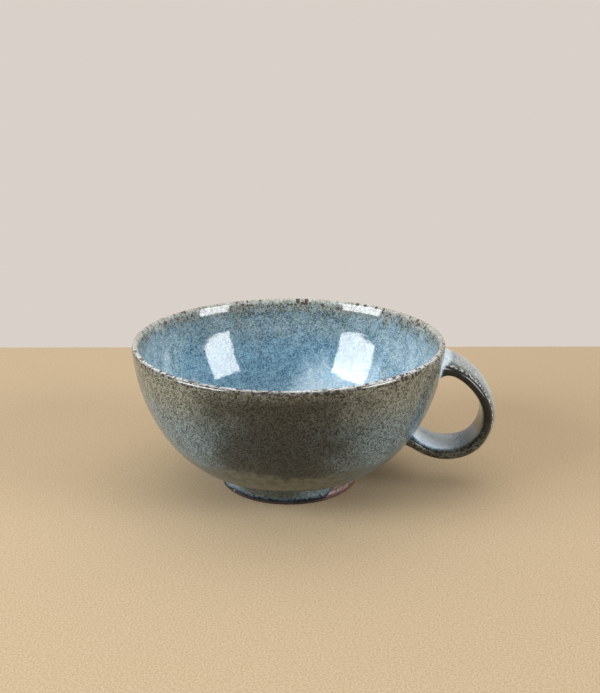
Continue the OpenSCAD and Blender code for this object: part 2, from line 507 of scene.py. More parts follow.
class Recipe(Graph):
    """One material's node graph, with places in millimetres of the mug's own frame."""

    def __init__(self, name: str) -> None:
        """Starts a material with a shader and the places that the patterns read."""
        self.material = bpy.data.materials.new(name)
        self.material.use_nodes = True
        super().__init__(self.material.node_tree)
        self.shader = self.node("ShaderNodeBsdfPrincipled")
        self.node("ShaderNodeOutputMaterial", {"Surface": self.shader.outputs[0]})
        metres = self.node("ShaderNodeTexCoord").outputs["Object"]
        scaled = self.node("ShaderNodeVectorMath", {0: metres, "Scale": PER_METRE}, operation="SCALE")
        self.place = scaled.outputs[0]
        self.x, self.y, self.z = self.node("ShaderNodeSeparateXYZ", {0: self.place}).outputs
        flat = self.node("ShaderNodeCombineXYZ", {0: self.x, 1: self.y})
        away = self.node("ShaderNodeVectorMath", {0: flat.outputs[0]}, operation="LENGTH")
        self.radius = away.outputs["Value"]
        self.angle = self.math("ARCTAN2", self.times(self.y, -1.0), self.times(self.x, -1.0))

    def times(self, *shares: Number) -> Socket:
        """The product of several masks."""
        result = shares[0]
        for share in shares[1:]:
            result = self.math("MULTIPLY", result, share)
        return result

    def plus(self, *values: Number) -> Socket:
        """The sum of several values."""
        result = values[0]
        for value in values[1:]:
            result = self.math("ADD", result, value)
        return result

    def flip(self, share: Number) -> Socket:
        """What a mask leaves."""
        return self.math("SUBTRACT", 1.0, share)

    def ease(self, value: Number, low: Number, high: Number) -> Socket:
        """A mask that goes from 0 to 1 with soft ends as a value goes from low to high."""
        made = self.node("ShaderNodeMapRange", {"Value": value, "From Min": low, "From Max": high},
                         interpolation_type="SMOOTHSTEP")
        return made.outputs["Result"]

    def span(self, value: Number, low: float, high: float) -> Socket:
        """A value from 0 to 1 spread over another span."""
        made = self.node("ShaderNodeMapRange", {"Value": value, "To Min": low, "To Max": high})
        return made.outputs["Result"]

    def blend(self, share: Number, under: Shade, over: Shade) -> Socket:
        """One colour laid over another by a mask."""
        made = self.node("ShaderNodeMix", {0: share, 6: under, 7: over}, data_type="RGBA")
        return made.outputs[2]

    def cloud(self, grain: float, detail: float = 2.0, rough: float = 0.5, warp: float = 0.0,
              where: Optional[Socket] = None) -> Socket:
        """A soft random value.

        Args:
            grain: Size of its features, in millimetres.
            detail: How many finer layers it has.
            rough: How strong the finer layers are.
            warp: How far it is pulled about.
            where: Another place to read it at.

        Returns:
            A value around a half.
        """
        made = self.node("ShaderNodeTexNoise", {
            "Vector": where or self.place, "Scale": 1 / grain, "Detail": detail, "Roughness": rough,
            "Distortion": warp})
        return made.outputs[0]

    def sway(self, grain: float, reach: float, detail: float = 2.0, rough: float = 0.5) -> Socket:
        """A cloud's soft random value, from minus to plus a reach."""
        return self.span(self.cloud(grain, detail, rough), -reach, reach)

    def patches(self, grain: float, low: float, high: float, detail: float = 2.0,
                rough: float = 0.5) -> Socket:
        """A mask of soft random patches, which goes from 0 to 1 as a cloud goes from low to high."""
        return self.ease(self.cloud(grain, detail, rough), low, high)

    def unrolled(self, radius: float) -> Socket:
        """Places on the rim laid out flat: along it first, then across it from inside to outside."""
        along = self.times(self.angle, radius)
        across = self.math("SUBTRACT", self.z, self.radius)
        return self.node("ShaderNodeCombineXYZ", {0: along, 1: across}).outputs[0]

    def dots(self, specks: Specks, share: Number, flat: Optional[Socket] = None) -> Socket:
        """Round specks of mixed sizes.

        Args:
            specks: Their sizes, in millimetres.
            share: How many of them are there, from 0 to 1.
            flat: Places laid out flat to read them at, if not the mug's own.

        Returns:
            A mask that is 1 on the specks.
        """
        cells = self.node("ShaderNodeTexVoronoi", {"Vector": flat or self.place, "Scale": 1 / specks.gap},
                          voronoi_dimensions="2D" if flat else "3D")
        away = self.times(cells.outputs["Distance"], specks.gap)
        luck = self.node("ShaderNodeSeparateColor", {0: cells.outputs["Color"]})
        radius = self.span(luck.outputs[0], specks.small, specks.large)
        inside = self.flip(self.ease(self.math("SUBTRACT", away, radius), 0.0, specks.soft))
        return self.times(inside, self.math("LESS_THAN", luck.outputs[1], share))

    def facing(self, angle: float) -> Socket:
        """How far a place round the axis faces one direction: 1 towards it and -1 away from it."""
        along = self.math("ADD", self.times(self.x, math.cos(angle)), self.times(self.y, math.sin(angle)))
        return self.math("DIVIDE", along, self.radius)

    def carried(self, name: str) -> Socket:
        """A value that the piece's own vertices carry."""
        return self.node("ShaderNodeAttribute", attribute_name=name).outputs["Fac"]

    def relief(self, height: Socket, rise: float, under: Optional[Socket] = None) -> Socket:
        """A fine relief of a height, which rises by so many millimetres."""
        inputs = {"Strength": 1.0, "Distance": rise * MM, "Height": height}
        if under is not None:
            inputs["Normal"] = under
        return self.node("ShaderNodeBump", inputs).outputs[0]

    def finish(self, colour: Shade, rough: Number, normal: Socket, ior: float) -> bpy.types.Material:
        """Feeds the shader.

        Args:
            colour: The base colour.
            rough: The roughness.
            normal: The relief.
            ior: The refractive index of the surface.

        Returns:
            The finished material.
        """
        self.feed(self.shader.inputs["Base Color"], colour)
        self.feed(self.shader.inputs["Roughness"], rough)
        self.feed(self.shader.inputs["Normal"], normal)
        self.shader.inputs["IOR"].default_value = ior
        return self.material


@dataclass(frozen=True)
class Mottle:
    """A two-tone mottle: the ground of a glaze and the pale crystals in it."""

    dark: Colour
    pale: Colour

    def lay(self, recipe: Recipe, crystals: Socket) -> Socket:
        """The mottle's colour where a mask gives its crystals."""
        return recipe.blend(crystals, self.dark, self.pale)


@dataclass(frozen=True)
class AshGlaze:
    """The mug's mottled ash glaze: blue where it lies thick, olive and brown where it is thin.

    Sizes, heights and depths below the rim are in millimetres, as the recipes read them. A pair of
    heights or depths tells where a change starts and where it ends.
    """

    profile: Profile
    ior: float = 1.68
    thin_ior: float = 1.46
    glassy: Pair = (0.03, 0.07)
    sleek: Pair = (0.05, 0.12)
    satin: Pair = (0.14, 0.24)
    outside_grain: float = 1.08
    inside_grain: float = 1.05
    outside_banks: float = 0.06
    inside_banks: float = 0.2
    belly: Mottle = Mottle(paint(48, 62, 68), paint(144, 168, 179))
    shoulder: Mottle = Mottle(paint(64, 65, 56), paint(158, 160, 146))
    # Dark mottle laid over the wall's front: painted shade.
    thin_glaze_and_shade: Mottle = Mottle(paint(12, 12, 9), paint(52, 53, 45))
    # The direction that the painted shade on the wall, the painted highlight on the lip and the painted
    # sheen of the low band are laid out from.
    painted_light_way: float = math.radians(-87)
    well: Mottle = Mottle(paint(40, 101, 133), paint(144, 192, 215))
    collar: Mottle = Mottle(paint(62, 88, 97), paint(154, 178, 186))
    brow: Mottle = Mottle(paint(64, 70, 64), paint(162, 168, 160))
    milk: Mottle = Mottle(paint(152, 206, 236), paint(236, 248, 253))
    milk_way: float = math.radians(66)
    # Pale mottle on the inside's left and right walls: painted reflection.
    painted_reflection: Mottle = Mottle(paint(106, 140, 158), paint(198, 213, 221))
    painted_reflection_ways: Pair = (math.radians(14), math.radians(190))
    strap: Mottle = Mottle(paint(126, 137, 141), paint(191, 196, 197))
    strap_inner: Mottle = Mottle(paint(64, 72, 74), paint(106, 115, 117))
    strap_edge: Mottle = Mottle(paint(44, 46, 38), paint(122, 128, 118))
    strap_side: Mottle = Mottle(paint(5, 5, 5), paint(124, 124, 110))
    # Pale beads along the strap's corners: painted glints.
    strap_glints: Mottle = Mottle(paint(28, 28, 24), paint(208, 213, 212))
    pool: Mottle = Mottle(paint(198, 225, 243), paint(232, 244, 252))
    teal: Colour = paint(52, 106, 136)
    band: Mottle = Mottle(paint(76, 82, 74), paint(100, 105, 94))
    # Paler, bluer tone of the low band away from the front: painted sheen.
    band_side_sheen: Colour = paint(94, 107, 110)
    cream: Mottle = Mottle(paint(138, 139, 130), paint(218, 219, 212))
    # Near white of the lip towards the front: painted highlight.
    lip_highlight: Mottle = Mottle(paint(196, 200, 202), paint(246, 248, 250))
    iron: Colour = paint(20, 13, 9)
    rust: Colour = paint(58, 40, 25)
    roll_blue: Colour = paint(146, 162, 168)
    roll_line: Colour = paint(104, 122, 134)
    roll_navy: Colour = paint(14, 17, 27)
    roll_way: float = math.radians(-102)
    roll_olive: Colour = paint(112, 115, 103)
    brown_heights: Pair = (40, 62)
    milk_heights: Pair = (10, 26)
    milk_lift: float = 19.0
    strap_heights: Pair = (22, 36)
    grey_depths: Pair = (30, 9)
    olive_depths: Pair = (10, 2)
    brow_depths: Pair = (8, 2.5)
    cream_depths: Pair = (2.6, 0.4)
    run_depths: Pair = (10, 2)
    fine_depths: Pair = (8, 2)
    bold_depths: Pair = (4.2, 2.2)
    crest_reach: Pair = (0.55, 1.45)
    wall_border: float = 0.3
    wall_specks: Specks = Specks(2.6, 0.12, 0.4)
    well_specks: Specks = Specks(2.6, 0.15, 0.5)
    fine_specks: Specks = Specks(1.3, 0.1, 0.36)
    bold_specks: Specks = Specks(2.2, 0.4, 1.15, 0.14)
    strap_specks: Specks = Specks(2.2, 0.12, 0.45)

    @property
    def rim_z(self) -> float:
        """Height of the rim in millimetres."""
        return self.profile.height * PER_METRE

    @property
    def rim(self) -> float:
        """Radius of the rim in millimetres."""
        return self.profile.rim_r * PER_METRE

    def near_rim(self, recipe: Recipe, height: Number, depths: Pair) -> Socket:
        """A mask that goes from 0 to 1 as a height goes from one depth below the rim to another."""
        return recipe.ease(height, self.rim_z - depths[0], self.rim_z - depths[1])

    def crystals(self, recipe: Recipe, grain: float, banks: float) -> Socket:
        """The fine pale worms and flecks that crystals make in the glaze, as a mask.

        Args:
            recipe: The recipe that takes them.
            grain: Size of the worms, in millimetres.
            banks: How much more and less of them there are from place to place.

        Returns:
            A mask that is 1 on the crystals.
        """
        field = recipe.cloud(grain, detail=2.5, warp=0.6)
        away = recipe.math("ABSOLUTE", recipe.math("SUBTRACT", field, 0.5))
        worms = recipe.times(recipe.flip(recipe.ease(away, 0.02, 0.085)), 0.8)
        flecks = recipe.times(recipe.patches(0.55 * grain, 0.5, 0.68, rough=0.6), 0.5)
        spread = recipe.patches(4.5 * grain, 0.3, 0.7, detail=3.0, rough=0.6)
        sown = recipe.plus(worms, flecks, recipe.span(spread, -banks, banks))
        return recipe.math("MAXIMUM", recipe.math("MINIMUM", sown, 1.0), 0.0)

    def streaks(self, recipe: Recipe, grain: float, squeeze: float) -> Socket:
        """A soft random value that runs down the wall in streaks."""
        runs = recipe.node("ShaderNodeVectorMath", {0: recipe.place, 1: (1.0, 1.0, squeeze)},
                           operation="MULTIPLY")
        return recipe.cloud(grain, detail=3.0, where=runs.outputs[0])

    def outside(self, recipe: Recipe) -> Socket:
        """The colour of the wall's outside, browner under the rim, bluer on the belly, and darkened in
        front by painted shade.
        """
        crystals = self.crystals(recipe, self.outside_grain, self.outside_banks)
        brown = recipe.ease(recipe.plus(recipe.z, recipe.sway(30, 6)), *self.brown_heights)
        tone = recipe.blend(brown, self.belly.lay(recipe, crystals), self.shoulder.lay(recipe, crystals))
        wisps = recipe.sway(12, 0.09, detail=3.0)
        # Painted shade: the wall darkens towards the front.
        thin_glaze_and_shade = recipe.ease(recipe.plus(recipe.facing(self.painted_light_way), wisps), 0.79, 0.995)
        brow = recipe.times(self.near_rim(recipe, recipe.z, self.brow_depths), 0.5)
        share = recipe.times(thin_glaze_and_shade, recipe.flip(brow), 0.9)
        tone = recipe.blend(share, tone, self.thin_glaze_and_shade.lay(recipe, crystals))
        specks = recipe.dots(self.wall_specks, recipe.span(brown, 0.12, 0.4))
        return recipe.blend(recipe.times(specks, 0.7), tone, self.iron)

    def inside(self, recipe: Recipe) -> Socket:
        """The colour of the bowl's inside: olive at the lip, then grey, then blue, then a milky well, with
        painted reflections paling its left and right walls.
        """
        crystals = self.crystals(recipe, self.inside_grain, self.inside_banks)
        streaks = recipe.span(self.streaks(recipe, 6.0, 0.2), -8, 8)
        wisps = recipe.sway(2.2, 8, detail=3.0, rough=0.6)
        height = recipe.plus(recipe.z, recipe.plus(streaks, wisps))
        grey = self.near_rim(recipe, height, self.grey_depths)
        tone = recipe.blend(grey, self.well.lay(recipe, crystals), self.collar.lay(recipe, crystals))
        # Painted reflection: the walls pale towards the left and right.
        sides = recipe.math("MAXIMUM", *(recipe.facing(way) for way in self.painted_reflection_ways))
        painted_reflection = recipe.ease(recipe.plus(sides, recipe.sway(9.0, 0.22, detail=3.0)), 0.6, 0.98)
        tone = recipe.blend(recipe.times(painted_reflection, 0.75), tone, self.painted_reflection.lay(recipe, crystals))
        olive = self.near_rim(recipe, height, self.olive_depths)
        tone = recipe.blend(recipe.times(olive, 0.9), tone, self.brow.lay(recipe, crystals))
        lift = recipe.times(recipe.ease(recipe.facing(self.milk_way), 0.82, 0.98), self.milk_lift)
        milky = recipe.flip(recipe.ease(recipe.math("SUBTRACT", height, lift), *self.milk_heights))
        tone = recipe.blend(milky, tone, self.milk.lay(recipe, crystals))
        specks = recipe.dots(self.well_specks, recipe.times(olive, 0.35), recipe.unrolled(self.rim))
        return recipe.blend(recipe.times(specks, 0.8), tone, self.rust)

    def lip_wash(self, recipe: Recipe, under: Socket, outer: Number) -> Socket:
        """The thin cream that the glaze breaks to inside the lip, whitened towards the front as a painted
        highlight, and the iron specks and rust outside it.

        Args:
            recipe: The recipe that takes it.
            under: The colour below it.
            outer: A mask of the lip's outer side.

        Returns:
            The colour with the wash.
        """
        ragged = recipe.plus(recipe.z, recipe.sway(1.8, 1.8, detail=3.0, rough=0.6))
        thin_glaze_and_shade = recipe.times(self.near_rim(recipe, ragged, self.cream_depths),
                            recipe.flip(recipe.times(outer, 0.9)), 0.85)
        crystals = self.crystals(recipe, self.inside_grain, self.inside_banks)
        # Painted highlight: the lip's cream turns white towards the front.
        front = recipe.ease(recipe.facing(self.painted_light_way), 0.0, 0.7)
        cream = recipe.blend(front, self.cream.lay(recipe, crystals), self.lip_highlight.lay(recipe, crystals))
        tone = recipe.blend(thin_glaze_and_shade, under, cream)
        runs = recipe.ease(self.streaks(recipe, 1.8, 0.18), 0.56, 0.68)
        here = recipe.patches(16.0, 0.44, 0.56)
        below = recipe.times(self.near_rim(recipe, recipe.z, self.run_depths), runs, here, outer)
        tone = recipe.blend(recipe.times(below, 0.55), tone, self.rust)
        flat = recipe.unrolled(self.rim)
        edge = self.near_rim(recipe, recipe.z, self.fine_depths)
        fine = recipe.dots(self.fine_specks, recipe.times(edge, recipe.span(outer, 0.34, 0.45)), flat)
        band = self.near_rim(recipe, recipe.z, self.bold_depths)
        bold = recipe.dots(self.bold_specks, recipe.times(band, recipe.span(outer, 0.42, 0.85)), flat)
        speck = recipe.blend(outer, self.rust, self.iron)
        return recipe.blend(recipe.times(recipe.math("MAXIMUM", fine, bold), 0.93), tone, speck)

    def pooled(self, recipe: Recipe, under: Socket, depth: Socket, border: Number) -> Socket:
        """The pale glaze that pools round the handle's roots, with a teal border.

        Args:
            recipe: The recipe that takes it.
            under: The colour beside it.
            depth: How deep the pool is, from 0 to 1.
            border: How strong the teal is.

        Returns:
            The colour with the pool.
        """
        wisps = recipe.sway(1.3, 0.6, detail=3.0, rough=0.7)
        ragged = recipe.plus(depth, recipe.times(wisps, recipe.ease(depth, 0.0, 0.15)))
        tone = recipe.blend(recipe.times(recipe.ease(ragged, 0.03, 0.3), border), under, self.teal)
        pool = self.pool.lay(recipe, recipe.patches(2.2, 0.35, 0.65))
        return recipe.blend(recipe.times(recipe.ease(ragged, 0.3, 0.95), 0.92), tone, pool)

    def gloss(self, recipe: Recipe, colour: Socket, rough: Pair, ior: float) -> bpy.types.Material:
        """Finishes a glaze: its gloss, its fine orange peel and the slow flow of its surface.

        Args:
            recipe: The recipe to finish.
            colour: The glaze's colour.
            rough: Roughness where it is smoothest and where it is dullest.
            ior: Its refractive index.

        Returns:
            The finished material.
        """
        peel = recipe.relief(recipe.cloud(1.1), 0.016)
        flow = recipe.relief(recipe.cloud(7.0), 0.03, peel)
        return recipe.finish(colour, recipe.span(recipe.cloud(2.5), *rough), flow, ior)

    def outside_finish(self) -> bpy.types.Material:
        """The finish of the wall's outside."""
        recipe = Recipe("ash_glaze_outside")
        tone = self.outside(recipe)
        ragged = recipe.plus(recipe.carried("coat"), recipe.sway(1.2, 0.8, detail=3.0, rough=0.7))
        # Painted shade and sheen: the low band stays dark in front and turns paler and bluer towards the
        # sides.
        front = recipe.ease(recipe.facing(self.painted_light_way), 0.7, 0.97)
        smooth = self.band.lay(recipe, recipe.patches(3.0, 0.35, 0.65, detail=3.0))
        band = recipe.blend(front, self.band_side_sheen, smooth)
        tone = recipe.blend(recipe.ease(ragged, 0.0, 1.0), band, tone)
        tone = self.lip_wash(recipe, tone, 1.0)
        tone = self.pooled(recipe, tone, recipe.carried("pool"), self.wall_border)
        return self.gloss(recipe, tone, self.satin, self.thin_ior)

    def inside_finish(self) -> bpy.types.Material:
        """The finish of the bowl's inside."""
        recipe = Recipe("ash_glaze_inside")
        tone = self.lip_wash(recipe, self.inside(recipe), 0.0)
        return self.gloss(recipe, tone, self.glassy, self.ior)

    def lip_finish(self) -> bpy.types.Material:
        """The finish of the lip, which joins the inside's colour to the outside's."""
        recipe = Recipe("ash_glaze_lip")
        crest = self.profile.corner.x * PER_METRE
        outer = recipe.ease(recipe.radius, *(crest + reach for reach in self.crest_reach))
        tone = recipe.blend(outer, self.inside(recipe), self.outside(recipe))
        return self.gloss(recipe, self.lip_wash(recipe, tone, outer), self.sleek, self.ior)

    def handle_finish(self) -> bpy.types.Material:
        """The finish of the handle: grey blue faces, sides that are almost black, and corners with painted
        glints.
        """
        recipe = Recipe("ash_glaze_handle")
        crystals = self.crystals(recipe, self.inside_grain, self.inside_banks)
        turn = recipe.carried("turn")
        wisps = recipe.sway(1.3, 0.12, detail=3.0, rough=0.6)
        spread = recipe.span(recipe.ease(turn, -0.15, 0.1), 3.0, 1.0)
        ragged = recipe.plus(recipe.math("ABSOLUTE", turn), recipe.times(wisps, spread))
        face = recipe.blend(recipe.ease(turn, -0.2, 0.2), self.strap_inner.lay(recipe, crystals),
                            self.strap.lay(recipe, crystals))
        tone = recipe.blend(recipe.ease(ragged, 0.46, 0.8), self.strap_edge.lay(recipe, crystals), face)
        side = recipe.flip(recipe.ease(ragged, 0.36, 0.54))
        low = recipe.flip(recipe.ease(recipe.z, *self.strap_heights))
        sparse = recipe.times(crystals, recipe.span(low, 0.1, 0.7))
        tone = recipe.blend(side, tone, self.strap_side.lay(recipe, sparse))
        # Painted highlight: glints laid along the corners of the strap.
        corner = recipe.times(recipe.ease(turn, 0.34, 0.42), recipe.flip(recipe.ease(turn, 0.48, 0.58)))
        glints = self.strap_glints.lay(recipe, recipe.patches(0.9, 0.44, 0.6))
        tone = recipe.blend(recipe.times(corner, 0.85), tone, glints)
        specks = recipe.dots(self.strap_specks, recipe.span(side, 0.1, 0.5))
        tone = recipe.blend(recipe.times(specks, 0.85), tone, self.iron)
        border = recipe.span(recipe.flip(recipe.ease(turn, -0.5, 0.0)), 0.25, 0.8)
        tone = self.pooled(recipe, tone, recipe.carried("pool"), border)
        return self.gloss(recipe, tone, self.sleek, self.thin_ior)

    def foot_finish(self) -> bpy.types.Material:
        """The finish of the roll of glaze on the foot: olive, then pale blue, then navy at its edge."""
        recipe = Recipe("ash_glaze_foot")
        wander = recipe.plus(recipe.carried("depth"), recipe.sway(3.0, 0.12))
        front = recipe.ease(recipe.facing(self.roll_way), 0.84, 0.97)
        tone = recipe.blend(front, self.roll_blue, self.roll_olive)
        tone = recipe.blend(recipe.flip(recipe.ease(wander, 0.16, 0.42)), tone, self.roll_line)
        tone = recipe.blend(recipe.flip(recipe.ease(wander, 0.05, 0.3)), tone, self.roll_navy)
        return self.gloss(recipe, tone, self.sleek, self.thin_ior)


@dataclass(frozen=True)
class BareClay:
    """Fired stoneware with no glaze on it: red brown and matt, with dark grains and turning lines, and near
    black at its lowest edge, partly darker clay and partly painted contact shadow.

    Its sizes and heights are in millimetres, as the recipe reads them.
    """

    base: Colour = paint(80, 60, 50)
    flush: Colour = paint(118, 96, 86)
    grain: Colour = paint(36, 25, 24)
    sand: Colour = paint(186, 170, 172)
    salmon: Colour = paint(130, 76, 64)
    # Near black of the clay's lowest edge: partly darker clay, partly painted contact shadow.
    dark_edge_and_contact_shadow: Colour = paint(38, 25, 23)
    patch_way: float = math.radians(-23)
    warm_heights: Pair = (1.2, 2.2)
    dark_edge_and_contact_shadow_heights: Pair = (0.9, 2.4)
    grains: Specks = Specks(1.3, 0.1, 0.35)
    sands: Specks = Specks(1.9, 0.08, 0.25)
    rough: Pair = (0.62, 0.9)
    ior: float = 1.45

    def finish(self, name: str) -> bpy.types.Material:
        """A material of this clay.

        Args:
            name: The material's name.

        Returns:
            The material.
        """
        recipe = Recipe(name)
        tone = recipe.blend(recipe.patches(9.0, 0.35, 0.65, detail=3.0), self.base, self.flush)
        tone = recipe.blend(recipe.times(recipe.dots(self.grains, 0.5), 0.8), tone, self.grain)
        tone = recipe.blend(recipe.times(recipe.dots(self.sands, 0.5), 0.7), tone, self.sand)
        across = recipe.node("ShaderNodeCombineXYZ", {0: recipe.radius, 1: recipe.z})
        lines = recipe.cloud(0.5, where=across.outputs[0])
        broken = recipe.times(recipe.ease(lines, 0.44, 0.58), recipe.patches(1.5, 0.42, 0.58, detail=3.0))
        patch = recipe.ease(recipe.facing(self.patch_way), 0.8, 0.9)
        tone = recipe.blend(recipe.times(broken, patch, 0.7), tone, self.sand)
        warm = recipe.times(patch, recipe.flip(recipe.ease(recipe.z, *self.warm_heights)))
        tone = recipe.blend(recipe.times(warm, 0.75), tone, self.salmon)
        # Darker towards the resting face: partly darker clay, partly painted contact shadow.
        low = recipe.flip(recipe.ease(recipe.z, *self.dark_edge_and_contact_shadow_heights))
        tone = recipe.blend(recipe.times(low, recipe.span(patch, 0.85, 0.45)), tone, self.dark_edge_and_contact_shadow)
        tooth = recipe.relief(recipe.cloud(0.45, detail=3.0, rough=0.65), 0.06)
        rough = recipe.span(recipe.cloud(1.5), *self.rough)
        return recipe.finish(tone, rough, recipe.relief(lines, 0.05, tooth), self.ior)


class Drip(NamedTuple):
    """A run of the upper glaze below its line: where it is round the axis, how far it runs and how wide."""

    angle: float
    run: float
    width: float


@dataclass
class Bowl:
    """The thrown bowl, its turned foot and the coats of glaze on them."""

    profile: Profile
    hand: Hand
    shop: Workshop
    glaze: AshGlaze
    clay: BareClay
    wall_rows: int = 84
    hidden_rows: int = 18
    lip_rows: int = 22
    floor_rows: int = 22
    foot_rows: int = 26
    under_rows: int = 60
    ring_rows: int = 24
    bevel_rows: int = 6
    seat_rows: int = 3
    coat_line: float = 25.0 * MM
    coat_wander: float = 3.0 * MM
    coat_step: float = 0.05 * MM
    coat_fade: float = 2.2 * MM
    coat_waves: Pair = (2.3, 17)
    quick_share: float = 0.35
    crease_calm: float = 4 * MM
    drips: tuple[Drip, ...] = (
        Drip(math.radians(-86), 3.2 * MM, math.radians(1.6)),
        Drip(math.radians(-97), 2.2 * MM, math.radians(1.3)),
        Drip(math.radians(-63), 2.6 * MM, math.radians(1.5)),
        Drip(math.radians(-128), 2.4 * MM, math.radians(1.6)),
        Drip(math.radians(40), 3.4 * MM, math.radians(1.8)),
        Drip(math.radians(118), 2.8 * MM, math.radians(1.5)),
        Drip(math.radians(171), 2.6 * MM, math.radians(1.5)))
    glaze_line: float = 1.25 * MM
    line_wander: float = 0.3 * MM
    line_waves: float = 3.1
    roll_t: float = 0.4 * MM
    roll_edge_share: float = 0.16
    roll_turn: int = 4
    bare_start: float = math.radians(-55)
    bare_full: float = math.radians(-43)
    bare_end: float = math.radians(-4)
    bare_close: float = math.radians(9)
    bare_gap: float = 0.7 * MM
    groove_pitch: float = 1.7 * MM
    groove_depth: float = 0.07 * MM
    spiral_eye: Pair = (0.5 * MM, 3 * MM)
    lines_per_groove: float = 1.6
    line_depth_share: float = 0.6

    def build(self, landing: Callable[[Vector], float]) -> None:
        """Makes the six turned pieces.

        Args:
            landing: How deep the handle's pooled glaze is at a point of the wall, from 0 to 1.
        """
        self.make_bowl_clay()
        self.make_foot_clay()
        self.make_inside()
        self.make_lip()
        self.make_outside(landing)
        self.make_foot_coat()

    def wall_row(self, rows: int, depth: float, inside: bool, show: float,
                 first: float = 0.0) -> list[Station]:
        """Stations up one side of the wall.

        Args:
            rows: How many steps they make.
            depth: How far they lie below the clay's outside, or above its inside.
            inside: Whether this is the wall's inside.
            show: 1 on a side that is seen.
            first: Share of the wall's curve where they start.

        Returns:
            The stations, from the foot to the lip.
        """
        p = self.profile
        stations = []
        for row in range(rows + 1):
            share = mix(first, 1.0, row / rows)
            if inside:
                stations.append(p.inner_at(share, depth)._replace(show=show))
            else:
                stations.append(Station(p.wall_at(share, depth), p.wall_out(share), show))
        return stations

    def floor_row(self, rows: int, coat: float, show: float) -> list[Station]:
        """Stations of the floor's upper side, from the axis outwards and short of the wall."""
        up = Vector((0, 1))
        return [Station(self.profile.floor_at(row / rows, coat), up, show) for row in range(rows)]

    def lip_row(self, rows: int, coat: float) -> list[Station]:
        """Stations over the lip, from the top of the wall's outside to the top of its inside."""
        corner = [self.profile.corner_at(row / rows, coat) for row in range(rows + 1)]
        inner = [self.profile.inner_at(2 - (row / rows) ** 2, coat) for row in range(1, rows + 1)]
        return corner + inner

    def ripple_skin(self, bm: bmesh.types.BMesh, height: Callable[[Vector], float]) -> None:
        """Moves the seen side of a turned mesh out by a height that depends on the place.

        Args:
            bm: The mesh.
            height: How far the skin stands out at a place.
        """
        show = bm.verts.layers.float["show"]
        out = bm.verts.layers.float_vector["out"]
        for vert in bm.verts:
            if vert[show] > 0:
                angle = math.atan2(vert.co.y, vert.co.x)
                away = Matrix.Rotation(angle, 3, "Z") @ vert[out]
                vert.co += vert[show] * height(vert.co) * away

    def make_bowl_clay(self) -> None:
        """The clay wall and floor, whose underside shows inside the foot ring with its turning spiral."""
        radius, rows = self.profile.wall.start.x, self.under_rows
        under = []
        for row in range(rows):
            place = Vector((radius * row / rows, self.profile.foot_h))
            under.append(Station(place, Vector((0, -1)), 1.0))
        hidden = (self.wall_row(self.hidden_rows, 0, False, 0.0)
                  + self.lip_row(self.lip_rows, 0)[:-1]
                  + self.wall_row(self.hidden_rows, 0, True, 0.0)[::-1]
                  + self.floor_row(self.hidden_rows, 0, 0.0)[::-1])
        outline = under + [station._replace(show=0.0) for station in hidden]
        bm = self.shop.turned(outline, closed=False)
        self.ripple_skin(bm, self.spiral)
        self.shop.piece(bm, "thrown_bowl", self.clay.finish("bowl_clay"), "clay", Clay.BOWL.value)

    def spiral(self, place: Vector) -> float:
        """The turning spiral cut in the underside, as a height above it."""
        radius = math.hypot(place.x, place.y)
        fade = ease(radius, *self.spiral_eye)
        turn = math.atan2(place.y, place.x) + TURN * radius / self.groove_pitch
        return -fade * self.groove_depth * (0.5 + 0.5 * math.sin(turn))

    def make_foot_clay(self) -> None:
        """The bare foot ring, with rounded edges and fine turning lines."""
        p = self.profile
        inner_r = p.foot_r - p.foot_w
        rows, bevel_rows = self.ring_rows, self.bevel_rows
        stations = []
        for row in range(rows + 1):
            height = mix(p.foot_h, p.foot_bevel, row / rows)
            stations.append(Station(Vector((inner_r, height)), Vector((-1, 0)), 1.0))
        bevels = ((inner_r + p.foot_bevel, math.pi), (p.foot_r - p.foot_bevel, 1.5 * math.pi))
        for centre_x, start in bevels:
            centre = Vector((centre_x, p.foot_bevel))
            for row in range(bevel_rows + 1):
                angle = start + math.pi / 2 * row / bevel_rows
                out = Vector((math.cos(angle), math.sin(angle)))
                stations.append(Station(centre + p.foot_bevel * out, out, float(0 < row < bevel_rows)))
        for row in range(1, rows + 1):
            stations.append(Station(p.cove_at(row / rows), Vector((1, 0)), float(row < rows)))
        for row in range(1, self.seat_rows + 1):
            share = p.crease_share * (1 - row / self.seat_rows)
            stations.append(Station(p.wall_at(share, 0), Vector((0, 1)), 0.0))
        bm = self.shop.turned(stations, closed=True)
        self.ripple_skin(bm, self.turning_lines)
        self.shop.piece(bm, "turned_foot", self.clay.finish("foot_clay"), "foot_clay", Clay.FOOT.value)

    def turning_lines(self, place: Vector) -> float:
        """The fine lines that the turning tool leaves on the foot, cut into it."""
        turn = TURN * place.z / self.groove_pitch * self.lines_per_groove
        cut = 0.5 + 0.5 * math.sin(turn + math.atan2(place.y, place.x))
        depth = self.line_depth_share * self.groove_depth
        return -depth * cut * ease(place.z, 0.0, self.profile.foot_bevel)

    def make_inside(self) -> None:
        """The coat inside the bowl, with its throwing rings."""
        coat = self.profile.glaze_t
        outline = (self.floor_row(self.hidden_rows, 0, 0.0) + self.wall_row(self.hidden_rows, 0, True, 0.0)
                   + self.wall_row(self.wall_rows, coat, True, 1.0)[::-1]
                   + self.floor_row(self.floor_rows, coat, 1.0)[::-1])
        bm = self.shop.turned(outline, closed=False)
        self.ripple_skin(bm, lambda place: self.hand.inside_share * self.hand.ripple(place))
        self.shop.coat(bm, "inside_coat", self.glaze.inside_finish(), Coat.INSIDE)

